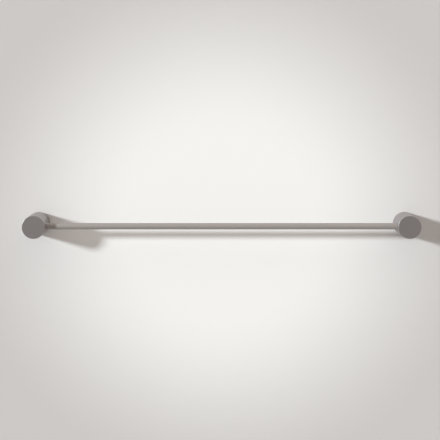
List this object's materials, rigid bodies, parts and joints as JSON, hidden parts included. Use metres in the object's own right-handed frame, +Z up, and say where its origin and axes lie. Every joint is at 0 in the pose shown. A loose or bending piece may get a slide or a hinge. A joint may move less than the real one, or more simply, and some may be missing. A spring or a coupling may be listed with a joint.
{
  "type": "towel rail",
  "caption": "Wall-mounted towel rail: a slim round bar between two plain round posts, held on hidden wall plates.",
  "frame": {"origin": "on the wall's surface, midway between the two posts, at the height of their axes", "axes": "+X along the rail, +Y into the wall, +Z up; the rail stands out of the wall towards -Y"},
  "size_m": [0.743, 0.1101, 0.043],
  "materials": {
    "satin_metal": "satin, warm mid grey",
    "plain_steel": "plain turned steel",
    "dark_steel": "black oxide"
  },
  "bodies": {
    "root": {"rail_bar": "satin_metal", "left_post": "satin_metal", "right_post": "satin_metal", "left_wall_plate": "plain_steel", "right_wall_plate": "plain_steel", "left_post_set_screw": "dark_steel", "right_post_set_screw": "dark_steel", "left_bar_set_screw": "dark_steel", "right_bar_set_screw": "dark_steel", "left_bar_end_plug": "plain_steel", "right_bar_end_plug": "plain_steel", "left_upper_wall_screw": "plain_steel", "left_lower_wall_screw": "plain_steel", "right_upper_wall_screw": "plain_steel", "right_lower_wall_screw": "plain_steel"}
  },
  "joints": []
}
